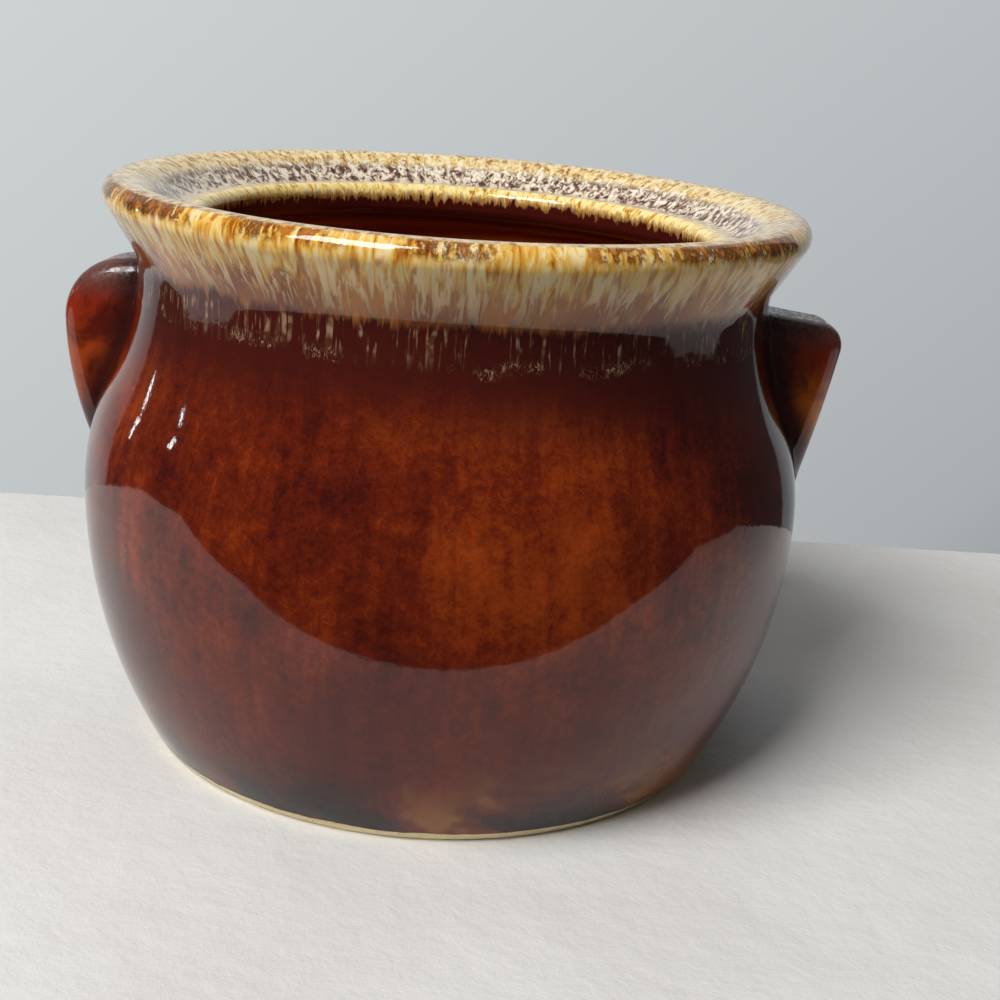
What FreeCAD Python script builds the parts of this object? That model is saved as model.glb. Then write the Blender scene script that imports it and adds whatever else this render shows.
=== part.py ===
"""Open stoneware bean pot with a lid gallery, two lugs and drip glaze.

Millimetres, +Z up. The origin is the centre of the foot, on the surface that the pot stands on.
The lugs stand out to +X and -X. Thrown clay, luted lugs and each coat of glaze are separate
solids. Radii of the clay are measured from the pot's axis, under the glaze.
"""
import FreeCAD, Part
import math
import os

import Sketcher

# Lengths in millimetres, slopes in degrees. Each can be changed by itself.
SIZES = {
    # foot and wall
    "foot_radius": 69.0,            # where the wall's curve would meet the table
    "foot_ring_width": 11.0,
    "foot_recess": 1.8,             # depth of the hollow inside the ring
    "foot_edge_radius": 0.8,        # sponged edge of the foot
    "bare_foot_height": 2.0,        # band of clay left without glaze
    "belly_radius": 85.2,
    "belly_height": 60.0,           # where the wall is widest
    "shoulder_share": 0.472,        # of the S from belly to neck, the part that bulges
    "neck_radius": 73.2,            # where the neck is narrowest
    "wall": 6.0,
    "floor_thickness": 5.7,
    "floor_corner_radius": 16.0,
    # rim
    "rim_height": 131.2,
    "neck_depth": 19.2,             # of the narrowest neck under the rim's top
    "rim_overhang": 7.8,            # of the rim beyond the neck
    "flare_radius": 8.5,            # hollow curve under the rim
    "lip_radius": 3.2,              # outer edge of the rim
    "crown_radius": 11.5,           # broad top of the rim
    "gallery_slope": 38.0,          # side of the seat for a lid
    "gallery_depth": 6.6,
    "gallery_fillet": 3.0,
    # flange that narrows the mouth
    "throat_inset": 14.0,           # of the throat behind the outside of the neck
    "throat_edge_radius": 2.2,
    "throat_lower_radius": 1.6,
    "flange_thickness": 7.2,
    "ledge_slope": 24.0,            # underside of the flange
    "ledge_fillet": 4.0,
    # lugs: slabs that stand out edge-on, cut to seat on the shoulder, set a little to the back
    "lug_root_depth": 7.2,          # of a blank behind the outside of the neck
    "lug_width": 18.5,              # along Y, at the top
    "lug_draft": 3.0,               # narrowing of each side towards the tip
    "lug_edge_radius": 4.5,
    "right_lug_bearing": 2.0,       # round from +X towards +Y
    "right_lug_drop": 3.3,          # of the top under the narrowest neck
    "right_lug_overhang": 7.6,      # beyond the belly
    "right_lug_top_slope": 7.4,     # fall of the top away from the neck
    "right_lug_corner": 5.2,
    "right_lug_bow": 0.3,           # of the side under the corner: 0 straight, 1 starts upright
    "right_lug_tip_drop": 7.9,      # of the blank's tip under the widest belly
    "right_lug_tip_inset": 2.8,     # of the blank's tip behind the widest belly
    "left_lug_bearing": 172.5,
    "left_lug_drop": 1.5,
    "left_lug_overhang": 8.5,
    "left_lug_top_slope": 6.8,
    "left_lug_corner": 14.9,
    "left_lug_bow": 0.94,
    "left_lug_tip_drop": 4.0,
    "left_lug_tip_inset": 1.3,
    # glaze
    "glaze": 0.6,                   # thickness of each fired coat
    "collar_drop": 6.5,             # of the ivory coat's lower edge under the narrowest neck
    "throat_glaze_depth": 4.1,      # of the ivory coat's other edge under the gallery
}

# Sizes that follow from the ones above, as the sheet's own formulas.
DERIVED = {
    "foot_inner_radius": "foot_radius - foot_ring_width",
    "floor_height": "foot_recess + floor_thickness",
    "belly_rise": "belly_radius - foot_radius",
    "wall_radius": "(belly_rise^2 + belly_height^2) / (2 * belly_rise)",
    "neck_height": "rim_height - neck_depth",
    "neck_step": "belly_radius - neck_radius",
    "shoulder_rise": "neck_height - belly_height",
    "shoulder_curves": "(neck_step^2 + shoulder_rise^2) / (2 * neck_step)",
    "shoulder_radius": "shoulder_share * shoulder_curves",
    "neck_curve_radius": "shoulder_curves - shoulder_radius",
    "rim_radius": "neck_radius + rim_overhang",
    "gallery_height": "rim_height - gallery_depth",
    "throat_radius": "neck_radius - throat_inset",
    "throat_bottom": "gallery_height - flange_thickness",
    "lug_root_radius": "neck_radius - lug_root_depth",
    "collar_height": "neck_height - collar_drop",
    "throat_glaze_height": "gallery_height - throat_glaze_depth",
}

# The same for each lug. The corner's centre and the side are measured from the blank's own top.
LUG_DERIVED = {
    "height": "neck_height - LUG_drop",
    "reach": "belly_radius + LUG_overhang",
    "length": "LUG_height - belly_height + LUG_tip_drop",
    "tip_radius": "belly_radius - LUG_tip_inset",
    "tip_width": "lug_width - 2 * LUG_length * tan(lug_draft * 1 deg)",
    "edge": "min(lug_edge_radius; 0.48 * LUG_tip_width)",
    "corner_x": "LUG_reach - LUG_corner",
    "top_fall": "(LUG_corner_x - lug_root_radius) * tan(LUG_top_slope * 1 deg)",
    "corner_depth": "LUG_corner / cos(LUG_top_slope * 1 deg) + LUG_top_fall",
    "lean": "atan((LUG_reach - LUG_tip_radius) / (LUG_length - LUG_corner_depth)) / 1 deg",
    "side_slope": "(1 - LUG_bow) * LUG_lean",
    "side_run": "LUG_corner_x + LUG_corner * cos(LUG_side_slope * 1 deg) - LUG_tip_radius",
    "side_fall": "LUG_length - LUG_corner_depth - LUG_corner * sin(LUG_side_slope * 1 deg)",
    "side_bulge": "LUG_side_run * cos(LUG_side_slope * 1 deg)"
                  " - LUG_side_fall * sin(LUG_side_slope * 1 deg)",
    "side_radius": "(LUG_side_run^2 + LUG_side_fall^2) / (2 * LUG_side_bulge)",
}

NO_GLAZE = 0.0
TOOL_MARGIN = 10.0                  # how far a cutting tool runs past what it cuts

document = FreeCAD.newDocument("BeanPot")


def make_sheet():
    """Put every driving size in a named cell, and every formula in one below them."""
    sheet = document.addObject("Spreadsheet::Sheet", "sizes")
    cells = {name: str(value) for name, value in SIZES.items()}
    cells.update({name: "=" + formula for name, formula in DERIVED.items()})
    for lug in ("left_lug", "right_lug"):
        for name, formula in LUG_DERIVED.items():
            cells[lug + "_" + name] = "=" + formula.replace("LUG", lug)
    for row, (name, content) in enumerate(cells.items(), start=1):
        sheet.set("A%d" % row, name)
        sheet.set("B%d" % row, content)
        sheet.setAlias("B%d" % row, name)
    document.recompute()
    return sheet


sheet = make_sheet()


def size(name):
    """A size as a plain number."""
    return float(sheet.get(name))


def point(radius, height):
    return FreeCAD.Vector(radius, height, 0)


def step(start, direction_degrees, length):
    """The point at a distance from another, along a direction in degrees from +X."""
    angle = math.radians(direction_degrees)
    return start + point(math.cos(angle), math.sin(angle)) * length


def towards(start, end, length):
    """The point at a distance from start on the line through end."""
    return start + (end - start).normalize() * length


class Outline:
    """A closed chain of edges in a body's XZ plane: x is the radius, y the height."""

    def __init__(self, body, name):
        plane = next(item for item in body.Origin.OriginFeatures if item.Role == "XZ_Plane")
        self.sketch = body.newObject("Sketcher::SketchObject", name)
        self.sketch.AttachmentSupport = [(plane, "")]
        self.sketch.MapMode = "FlatFace"
        self.edges = {}
        self.order = []

    def _add(self, name, curve, first, last):
        index = self.sketch.addGeometry(curve, False)
        self.edges[name] = (index, first, last)
        self.order.append(name)

    def line(self, name, start, end):
        self._add(name, Part.LineSegment(start, end), 1, 2)

    def arc(self, name, centre, start, end, turn):
        """An arc from start to end that turns left (+1) or right (-1)."""
        radius = (start - centre).Length
        circle = Part.Circle(centre, FreeCAD.Vector(0, 0, 1), radius)
        angles = [math.atan2(p.y - centre.y, p.x - centre.x) for p in (start, end)]
        if turn > 0:
            self._add(name, Part.ArcOfCircle(circle, angles[0], angles[1]), 1, 2)
        else:
            self._add(name, Part.ArcOfCircle(circle, angles[1], angles[0]), 2, 1)

    def close(self, smooth):
        """Join each edge to the next, in tangent where the first one's name is in smooth."""
        for name, following in zip(self.order, self.order[1:] + self.order[:1]):
            kind = "Tangent" if name in smooth else "Coincident"
            index, _, last = self.edges[name]
            next_index, first, _ = self.edges[following]
            self.sketch.addConstraint(Sketcher.Constraint(kind, index, last, next_index, first))
        if "axis" in self.edges:
            self.sketch.addConstraint(Sketcher.Constraint("PointOnObject", *self.end("axis"), -2))

    def start(self, name):
        index, first, _ = self.edges[name]
        return index, first

    def end(self, name):
        index, _, last = self.edges[name]
        return index, last

    def centre(self, name):
        return self.edges[name][0], 3

    def set(self, kind, *names):
        for name in names:
            self.sketch.addConstraint(Sketcher.Constraint(kind, self.edges[name][0]))

    def align(self, kind, one, other):
        self.sketch.addConstraint(Sketcher.Constraint(kind, *one, *other))

    def _bind(self, constraint, name, expression):
        index = self.sketch.addConstraint(constraint)
        self.sketch.renameConstraint(index, name)
        self.sketch.setExpression("Constraints." + name, expression)

    def radius(self, name, expression):
        index = self.edges[name][0]
        value = self.sketch.Geometry[index].Radius
        self._bind(Sketcher.Constraint("Radius", index, value), name + "_r", expression)

    def angle(self, name, degrees, expression):
        index = self.edges[name][0]
        self._bind(Sketcher.Constraint("Angle", index, math.radians(degrees)), name + "_angle",
                   "(%s) * 1 deg" % expression)

    def fall(self, label, high, low, expression):
        """How far one point lies under another."""
        depth = self.sketch.getPoint(*high).y - self.sketch.getPoint(*low).y
        self._bind(Sketcher.Constraint("DistanceY", *low, *high, depth), label + "_fall",
                   expression)

    def place(self, label, where, across=None, up=None):
        """Fix a point's distance from the axis and its height, each from an expression."""
        spot = self.sketch.getPoint(*where)
        if across:
            self._bind(Sketcher.Constraint("DistanceX", -1, 1, *where, spot.x),
                       label + "_x", across)
        if up:
            self._bind(Sketcher.Constraint("DistanceY", -1, 1, *where, spot.y), label + "_y", up)


def revolved(name, draw, *arguments):
    """A body turned about the upright axis of its outline."""
    body = document.addObject("PartDesign::Body", name)
    outline = Outline(body, name + "_outline")
    draw(outline, *arguments)
    turned = body.newObject("PartDesign::Revolution", name + "_turned")
    turned.Profile = outline.sketch
    turned.ReferenceAxis = (outline.sketch, ["V_Axis"])
    turned.Angle = 360
    outline.sketch.Visibility = False
    return body


def coat(grow):
    """The expression for a coat's thickness: the glaze's own cell, or nothing for bare clay."""
    return "sizes.glaze" if grow else "0"


def wall_centres():
    """Centres of the three curves that the outside and the inside of the wall share."""
    belly, waist = size("belly_radius"), size("belly_height")
    lower_centre = point(belly - size("wall_radius"), waist)
    shoulder_centre = point(belly - size("shoulder_radius"), waist)
    neck_centre = point(size("neck_radius") + size("neck_curve_radius"), size("neck_height"))
    return lower_centre, shoulder_centre, neck_centre


def draw_outside(outline, grow):
    """Outside of the pot with its mouth filled in, grown by the thickness of a coat."""
    thick = coat(grow)
    lower_centre, shoulder_centre, neck_centre = wall_centres()
    belly = point(size("belly_radius") + grow, size("belly_height"))
    neck = point(size("neck_radius") + grow, size("neck_height"))
    edge_radius = size("foot_edge_radius")
    lower_radius = size("wall_radius") + grow
    edge_rise = belly.y - edge_radius
    edge_run = math.sqrt((lower_radius - edge_radius) ** 2 - edge_rise ** 2)
    edge_centre = point(lower_centre.x + edge_run, edge_radius)
    edge_top = towards(lower_centre, edge_centre, lower_radius)
    turning = towards(neck_centre, shoulder_centre, size("neck_curve_radius") - grow)
    flare_centre = point(size("neck_radius") + size("flare_radius"), neck.y)
    flare_radius = size("flare_radius") - grow
    lip_centre = point(size("rim_radius") - size("lip_radius"),
                       size("rim_height") - size("lip_radius"))
    lip_radius = size("lip_radius") + grow
    between = lip_centre - flare_centre
    facing = math.atan2(between.y, between.x) - math.acos(-(flare_radius + lip_radius)
                                                          / between.Length)
    facing = math.degrees(facing)
    flare_end = step(flare_centre, facing + 180, flare_radius)
    lip_start = step(lip_centre, facing, lip_radius)
    lip_top = lip_centre + point(0, lip_radius)
    crown_radius = size("crown_radius") + grow
    crown_centre = lip_top - point(0, crown_radius)
    slope = size("gallery_slope")
    crown_end = step(crown_centre, 90 + slope, crown_radius)
    fillet = size("gallery_fillet") - grow
    gallery = size("gallery_height") + grow
    fall = crown_end.y + fillet * math.cos(math.radians(slope)) - (gallery + fillet)
    slope_end = step(crown_end, 180 + slope, fall / math.sin(math.radians(slope)))
    fillet_centre = step(slope_end, 90 + slope, fillet)
    recess = size("foot_recess")
    hollow = size("foot_inner_radius")

    outline.line("base", point(0, recess), point(hollow, recess))
    outline.line("recess_wall", point(hollow, recess), point(hollow, 0))
    outline.line("foot", point(hollow, 0), point(edge_centre.x, 0))
    outline.arc("foot_edge", edge_centre, point(edge_centre.x, 0), edge_top, +1)
    outline.arc("lower_wall", lower_centre, edge_top, belly, +1)
    outline.arc("shoulder", shoulder_centre, belly, turning, +1)
    outline.arc("neck", neck_centre, turning, neck, -1)
    outline.arc("flare", flare_centre, neck, flare_end, -1)
    outline.line("flare_side", flare_end, lip_start)
    outline.arc("lip", lip_centre, lip_start, lip_top, +1)
    outline.arc("crown", crown_centre, lip_top, crown_end, +1)
    outline.line("gallery_side", crown_end, slope_end)
    outline.arc("gallery_corner", fillet_centre, slope_end, point(fillet_centre.x, gallery), -1)
    outline.line("gallery", point(fillet_centre.x, gallery), point(0, gallery))
    outline.line("axis", point(0, gallery), point(0, recess))
    outline.close(smooth=("foot", "foot_edge", "lower_wall", "shoulder", "neck", "flare",
                          "flare_side", "lip", "crown", "gallery_side", "gallery_corner"))

    outline.set("Horizontal", "base", "foot", "gallery")
    outline.set("Vertical", "recess_wall", "axis")
    outline.align("PointOnObject", outline.start("foot"), (-1,))
    outline.place("recess", outline.start("recess_wall"), "sizes.foot_inner_radius",
                  "sizes.foot_recess")
    outline.radius("foot_edge", "sizes.foot_edge_radius")
    outline.place("belly", outline.end("lower_wall"), "sizes.belly_radius + " + thick,
                  "sizes.belly_height")
    outline.align("Horizontal", outline.centre("lower_wall"), outline.end("lower_wall"))
    outline.radius("lower_wall", "sizes.wall_radius + " + thick)
    outline.radius("shoulder", "sizes.shoulder_radius + " + thick)
    outline.place("narrow", outline.end("neck"), "sizes.neck_radius + " + thick,
                  "sizes.neck_height")
    outline.align("Horizontal", outline.centre("neck"), outline.end("neck"))
    outline.radius("flare", "sizes.flare_radius - " + thick)
    outline.radius("lip", "sizes.lip_radius + " + thick)
    outline.place("lip_centre", outline.centre("lip"), "sizes.rim_radius - sizes.lip_radius",
                  "sizes.rim_height - sizes.lip_radius")
    outline.align("Vertical", outline.centre("lip"), outline.end("lip"))
    outline.radius("crown", "sizes.crown_radius + " + thick)
    outline.angle("gallery_side", 180 + slope, "180 + sizes.gallery_slope")
    outline.radius("gallery_corner", "sizes.gallery_fillet - " + thick)
    outline.place("gallery", outline.end("gallery"), up="sizes.gallery_height + " + thick)


def draw_cavity(outline, grow):
    """Hollow of the pot, run up through its mouth, narrowed by the thickness of a coat."""
    thick = coat(grow)
    lower_centre, shoulder_centre, neck_centre = wall_centres()
    wall = size("wall")
    gallery = size("gallery_height") + grow
    top = size("rim_height") + TOOL_MARGIN
    edge_radius = size("throat_edge_radius") + grow
    edge_centre = point(size("throat_radius") + size("throat_edge_radius"),
                        size("gallery_height") - size("throat_edge_radius"))
    throat_top = edge_centre - point(edge_radius, 0)
    low_radius = size("throat_lower_radius") + grow
    low_centre = point(size("throat_radius") + size("throat_lower_radius"),
                       size("throat_bottom") + size("throat_lower_radius"))
    ledge_slope = size("ledge_slope")
    ledge_start = step(low_centre, -90 - ledge_slope, low_radius)
    corner = size("ledge_fillet") - grow
    neck_radius = size("neck_curve_radius") + wall + grow
    # the corner's centre runs along the ledge until it touches the curve of the neck
    line_start = step(ledge_start, -90 - ledge_slope, corner)
    heading = step(point(0, 0), -ledge_slope, 1)
    offset = line_start - neck_centre
    half = offset.dot(heading)
    run = -half - math.sqrt(half ** 2 - offset.dot(offset) + (neck_radius + corner) ** 2)
    corner_centre = line_start + heading * run
    ledge_end = ledge_start + heading * run
    corner_end = towards(neck_centre, corner_centre, neck_radius)
    turning = towards(neck_centre, shoulder_centre, neck_radius)
    belly = point(size("belly_radius") - wall - grow, size("belly_height"))
    inner_radius = size("wall_radius") - wall - grow
    floor = size("floor_height") + grow
    floor_corner = size("floor_corner_radius") - grow
    floor_rise = belly.y - floor - floor_corner
    floor_run = math.sqrt((inner_radius - floor_corner) ** 2 - floor_rise ** 2)
    floor_centre = point(lower_centre.x + floor_run, floor + floor_corner)
    wall_end = towards(lower_centre, floor_centre, inner_radius)

    outline.line("top", point(0, top), point(edge_centre.x, top))
    outline.line("mouth", point(edge_centre.x, top), point(edge_centre.x, gallery))
    outline.arc("throat_edge", edge_centre, point(edge_centre.x, gallery), throat_top, +1)
    outline.line("throat", throat_top, point(throat_top.x, low_centre.y))
    outline.arc("throat_lower", low_centre, point(throat_top.x, low_centre.y), ledge_start, +1)
    outline.line("ledge", ledge_start, ledge_end)
    outline.arc("ledge_corner", corner_centre, ledge_end, corner_end, -1)
    outline.arc("inner_neck", neck_centre, corner_end, turning, +1)
    outline.arc("inner_shoulder", shoulder_centre, turning, belly, -1)
    outline.arc("inner_wall", lower_centre, belly, wall_end, -1)
    outline.arc("floor_corner", floor_centre, wall_end, point(floor_centre.x, floor), -1)
    outline.line("floor", point(floor_centre.x, floor), point(0, floor))
    outline.line("axis", point(0, floor), point(0, top))
    outline.close(smooth=("throat_edge", "throat", "throat_lower", "ledge", "ledge_corner",
                          "inner_neck", "inner_shoulder", "inner_wall", "floor_corner"))

    outline.set("Horizontal", "top", "floor")
    outline.set("Vertical", "mouth", "throat", "axis")
    outline.place("top", outline.end("top"), up="sizes.rim_height + %g" % TOOL_MARGIN)
    outline.radius("throat_edge", "sizes.throat_edge_radius + " + thick)
    outline.place("edge_centre", outline.centre("throat_edge"),
                  "sizes.throat_radius + sizes.throat_edge_radius",
                  "sizes.gallery_height - sizes.throat_edge_radius")
    outline.align("Vertical", outline.centre("throat_edge"), outline.start("throat_edge"))
    outline.place("low_centre", outline.centre("throat_lower"),
                  up="sizes.throat_bottom + sizes.throat_lower_radius")
    outline.radius("throat_lower", "sizes.throat_lower_radius + " + thick)
    outline.angle("ledge", -ledge_slope, "-sizes.ledge_slope")
    outline.radius("ledge_corner", "sizes.ledge_fillet - " + thick)
    outline.place("neck_centre", outline.centre("inner_neck"),
                  "sizes.neck_radius + sizes.neck_curve_radius", "sizes.neck_height")
    outline.radius("inner_neck", "sizes.neck_curve_radius + sizes.wall + " + thick)
    outline.radius("inner_shoulder", "sizes.shoulder_radius - sizes.wall - " + thick)
    outline.place("shoulder_centre", outline.centre("inner_shoulder"), up="sizes.belly_height")
    outline.align("Horizontal", outline.centre("inner_shoulder"), outline.end("inner_shoulder"))
    outline.radius("inner_wall", "sizes.wall_radius - sizes.wall - " + thick)
    outline.radius("floor_corner", "sizes.floor_corner_radius - " + thick)
    outline.place("floor", outline.end("floor"), up="sizes.floor_height + " + thick)


def draw_lug(outline, side, grow):
    """Side view of a lug, its heights measured from the top of the blank at its root."""
    thick = coat(grow)
    corner = size(side + "_lug_corner") + grow
    bow = size(side + "_lug_side_radius") + grow
    top_slope = math.radians(size(side + "_lug_top_slope"))
    side_slope = math.radians(size(side + "_lug_side_slope"))
    root = size("lug_root_radius")
    peak = point(root, grow)
    centre = point(size(side + "_lug_corner_x"), -size(side + "_lug_corner_depth"))
    top_end = centre + point(math.sin(top_slope), math.cos(top_slope)) * corner
    under = point(math.cos(side_slope), -math.sin(side_slope))
    side_start = centre + under * corner
    bow_centre = centre - under * (bow - corner)
    tip_y = -size(side + "_lug_length")
    tip = point(bow_centre.x + math.sqrt(bow ** 2 - (bow_centre.y - tip_y) ** 2), tip_y)

    outline.line("bottom", point(root, tip_y), tip)
    outline.arc("side", bow_centre, tip, side_start, +1)
    outline.arc("corner", centre, side_start, top_end, +1)
    outline.line("top", top_end, peak)
    outline.line("root", peak, point(root, tip_y))
    outline.close(smooth=("side", "corner"))

    outline.set("Horizontal", "bottom")
    outline.set("Vertical", "root")
    outline.radius("corner", "sizes.%s_lug_corner + %s" % (side, thick))
    outline.place("corner_centre", outline.centre("corner"), "sizes.%s_lug_corner_x" % side)
    outline.radius("side", "sizes.%s_lug_side_radius + %s" % (side, thick))
    outline.fall("side_start", outline.centre("corner"), outline.start("corner"),
                 "(sizes.%s_lug_corner + %s) * sin(sizes.%s_lug_side_slope * 1 deg)"
                 % (side, thick, side))
    outline.angle("top", 180 - size(side + "_lug_top_slope"),
                  "180 - sizes.%s_lug_top_slope" % side)
    outline.place("peak", outline.end("top"), "sizes.lug_root_radius", thick)
    outline.place("tip", outline.end("bottom"), up="-sizes.%s_lug_length" % side)


def lug_blank(side, grow):
    """One lug before it is cut to the shoulder, its edges rounded."""
    name = side + ("_lug_glazed" if grow else "_lug_blank")
    body = document.addObject("PartDesign::Body", name)
    outline = Outline(body, name + "_outline")
    draw_lug(outline, side, grow)
    slab = body.newObject("PartDesign::Pad", name + "_slab")
    slab.Profile = outline.sketch
    slab.Midplane = True
    slab.setExpression("Length", "sizes.lug_width + 2 * " + coat(grow))
    document.recompute()

    cheeks = [name for face, name in named(slab.Shape.Faces, "Face")
              if abs(face.normalAt(0, 0).y) > 0.99]
    tapered = body.newObject("PartDesign::Draft", name + "_tapered")
    tapered.Base = (slab, cheeks)
    plane = next(item for item in body.Origin.OriginFeatures if item.Role == "XY_Plane")
    tapered.NeutralPlane = (plane, [""])
    tapered.Reversed = True
    tapered.setExpression("Angle", "sizes.lug_draft * 1 deg")
    document.recompute()
    document.recompute()            # a new draft only finds its faces on the second pass

    rim = [name for edge, name in named(tapered.Shape.Edges, "Edge") if on_rim(edge, side)]
    rounded = body.newObject("PartDesign::Fillet", name + "_rounded")
    rounded.Base = (tapered, rim)
    rounded.setExpression("Radius", "sizes.%s_lug_edge + %s" % (side, coat(grow)))
    outline.sketch.Visibility = False
    bearing = size(side + "_lug_bearing")
    body.Placement.Rotation = FreeCAD.Rotation(FreeCAD.Vector(0, 0, 1), bearing)
    body.setExpression("Placement.Rotation.Angle", "sizes.%s_lug_bearing * 1 deg" % side)
    body.setExpression("Placement.Base.z", "sizes.%s_lug_height" % side)
    return body


def named(shapes, kind):
    """Each face or edge with its name in its own shape."""
    return [(shape, "%s%d" % (kind, number)) for number, shape in enumerate(shapes, start=1)]


def on_rim(curve, side):
    """Whether an edge of a slab is one of those that run round its top and outer side."""
    middle = curve.valueAt((curve.FirstParameter + curve.LastParameter) / 2)
    inside = middle.x < size("lug_root_radius") + 0.1
    under = middle.z < 0.1 - size(side + "_lug_length")
    return abs(middle.y) > 0.1 * size("lug_width") and not inside and not under


def boolean(kind, name, base, *tools):
    """Part::Cut or Part::Common of two objects, or a fusion of several."""
    result = document.addObject("Part::" + kind, name)
    if kind == "MultiFuse":
        result.Shapes = [base, *tools]
    else:
        result.Base, result.Tool = base, tools[0]
    return result


def zone(name, low, high):
    """A wide disc of space between two heights."""
    disc = document.addObject("Part::Cylinder", name)
    disc.setExpression("Radius", "2 * sizes.belly_radius")
    disc.setExpression("Height", "%s - (%s)" % (high, low))
    disc.setExpression("Placement.Base.z", low)
    return disc


def build():
    """Make the sub-parts, named as their files are."""
    outside = revolved("outside", draw_outside, NO_GLAZE)
    cavity = revolved("cavity", draw_cavity, NO_GLAZE)
    pot = boolean("Cut", "stoneware_body", outside, cavity)

    glaze = size("glaze")
    outside_glazed = revolved("outside_glazed", draw_outside, glaze)
    cavity_glazed = revolved("cavity_glazed", draw_cavity, glaze)

    lugs = []
    glazed_lugs = []
    for side in ("left", "right"):
        lugs.append(boolean("Cut", side + "_lug", lug_blank(side, NO_GLAZE), outside))
        glazed_lugs.append(lug_blank(side, glaze))

    # the brown coat runs from the bare foot to the collar, and over the whole of each lug
    dipped_zone = zone("dipped_zone", "sizes.bare_foot_height", "sizes.collar_height")
    dipped_band = boolean("Common", "dipped_band", outside_glazed, dipped_zone)
    dipped = boolean("MultiFuse", "dipped_form", dipped_band, *glazed_lugs)
    bare_form = boolean("MultiFuse", "bare_form", outside, *lugs)
    brown = boolean("Cut", "brown_outer_glaze", dipped, bare_form)

    # the liner coats the hollow up to the throat
    lining = boolean("Cut", "lining", cavity, cavity_glazed)
    lining_zone = zone("lining_zone", "0", "sizes.throat_glaze_height")
    inner = boolean("Common", "brown_inner_glaze", lining, lining_zone)

    # the ivory coat wraps the rim, from the collar over the gallery into the throat, and is
    # notched round the lugs
    glazed_pot = boolean("Cut", "glazed_pot", outside_glazed, cavity_glazed)
    rim_zone = zone("rim_zone", "sizes.collar_height", "sizes.rim_height + %g" % TOOL_MARGIN)
    glazed_rim = boolean("Common", "glazed_rim", glazed_pot, rim_zone)
    under_rim = boolean("MultiFuse", "under_rim", pot, inner, *lugs, brown)
    ivory = boolean("Cut", "ivory_rim_glaze", glazed_rim, under_rim)

    return [pot, *lugs, brown, inner, ivory]


def check(parts):
    """Stop on a failed object, a loose sketch, or a sub-part that isn't one valid solid."""
    for item in document.Objects:
        if "Invalid" in item.State or "Error" in item.State:
            raise RuntimeError("%s failed: %s" % (item.Name, item.State))
        if item.isDerivedFrom("Sketcher::SketchObject") and not item.FullyConstrained:
            raise RuntimeError("%s isn't fully constrained" % item.Name)
    for item in parts:
        shape = item.Shape
        if shape.isNull() or not shape.isValid() or len(shape.Solids) != 1:
            raise RuntimeError("%s isn't one valid solid" % item.Label)


sub_parts = build()
document.recompute()
check(sub_parts)
os.makedirs("parts", exist_ok=True)
for sub_part in sub_parts:
    box = sub_part.Shape.BoundBox
    print("%-18s volume %9.0f mm3  x %.1f..%.1f  z %.2f..%.2f" % (
        sub_part.Label, sub_part.Shape.Volume, box.XMin, box.XMax, box.ZMin, box.ZMax))
    sub_part.Shape.exportStep("parts/%s.step" % sub_part.Label)
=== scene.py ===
"""Looks for the stoneware bean pot: drip glaze, lugs run smoothly into the wall, table and light.

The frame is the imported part's: metres, +Z up, origin at the centre of the foot. Shapes are worked
out in millimetres and scaled when a mesh is made.
"""
import math

import bpy
import numpy as np
from mathutils import Matrix, Vector


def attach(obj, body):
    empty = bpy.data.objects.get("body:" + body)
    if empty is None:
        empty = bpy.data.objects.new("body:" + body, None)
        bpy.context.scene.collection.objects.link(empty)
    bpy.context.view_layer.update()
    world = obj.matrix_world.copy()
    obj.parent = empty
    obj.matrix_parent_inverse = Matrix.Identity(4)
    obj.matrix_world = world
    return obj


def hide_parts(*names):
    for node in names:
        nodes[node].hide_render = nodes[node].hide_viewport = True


MM = 0.001
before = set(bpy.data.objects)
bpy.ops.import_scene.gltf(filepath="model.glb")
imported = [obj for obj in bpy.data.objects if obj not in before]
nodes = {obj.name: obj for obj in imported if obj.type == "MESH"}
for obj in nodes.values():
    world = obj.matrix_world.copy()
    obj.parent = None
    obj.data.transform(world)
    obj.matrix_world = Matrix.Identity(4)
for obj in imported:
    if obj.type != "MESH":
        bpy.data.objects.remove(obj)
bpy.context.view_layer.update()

# ---------------------------------------------------------------- sizes of the clay and glaze (mm)

GLAZE = 0.6                             # thickness of the coat
FOOT_R, BELLY_R, BELLY_Z = 69.0, 85.2, 60.0
NECK_R, NECK_Z = 73.2, 112.0
RIM_R, RIM_Z, LIP_R, CROWN_R = 81.0, 131.2, 3.2, 11.5
FLARE_R, WALL = 8.5, 6.0
GALLERY_SLOPE, GALLERY_Z, GALLERY_FILLET = 38.0, 124.6, 3.0
THROAT_R, THROAT_EDGE_R, THROAT_LOW_R, THROAT_LOW_Z = 59.2, 2.2, 1.6, 117.4
LEDGE_SLOPE, LEDGE_FILLET = 24.0, 4.0
FLOOR_Z, FLOOR_CORNER_R = 7.5, 16.0
SHOULDER_SHARE = 0.472                  # of the two curves from the belly to the neck
BARE_FOOT = 2.0                         # height of the band that the glaze leaves bare

# radii of the arcs, which stand upright at the belly and at the neck
WALL_CURVE = ((BELLY_R - FOOT_R) ** 2 + BELLY_Z ** 2) / (2 * (BELLY_R - FOOT_R))
CURVES = ((BELLY_R - NECK_R) ** 2 + (NECK_Z - BELLY_Z) ** 2) / (2 * (BELLY_R - NECK_R))
SHOULDER_CURVE = SHOULDER_SHARE * CURVES
NECK_CURVE = CURVES - SHOULDER_CURVE

# ---------------------------------------------------------------- profile

ARC_GAP, LINE_GAP = 0.05, 0.06          # between the profile's points, on arcs and straights


def polar(centre, radius, degrees):
    """Points on a circle."""
    a = np.radians(degrees)
    return np.stack([centre[0] + radius * np.cos(a), centre[1] + radius * np.sin(a)], -1)


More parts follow.
